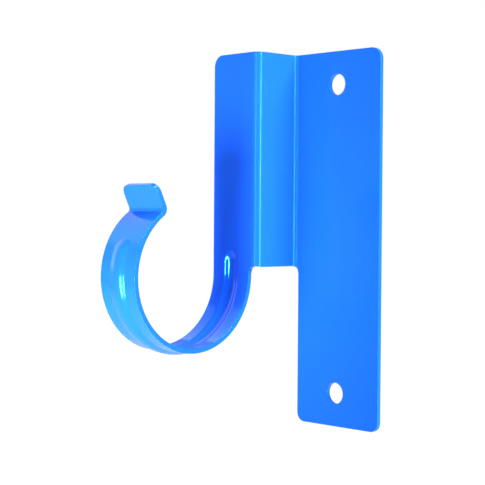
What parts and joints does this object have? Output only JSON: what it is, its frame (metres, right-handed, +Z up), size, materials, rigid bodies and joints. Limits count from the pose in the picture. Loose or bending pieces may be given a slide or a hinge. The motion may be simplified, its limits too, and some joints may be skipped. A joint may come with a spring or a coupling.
{
  "type": "vacuum hose hanger",
  "caption": "Wall hanger for a pool vacuum hose: a flat screw plate, a web and a strip that curls into a ribbed open hook with a flared lip, bent from one painted steel blank.",
  "frame": {"origin": "on the plate's back face, halfway between the two screw holes", "axes": "+X along the wall, from the hook towards the plate; +Y into the wall, so the hook stands out towards -Y; +Z up, along the plate's length"},
  "size_m": [0.0605, 0.0705, 0.127],
  "materials": {
    "powder_coat": "gloss"
  },
  "bodies": {
    "root": {"hose_hanger": "powder_coat"}
  },
  "joints": []
}
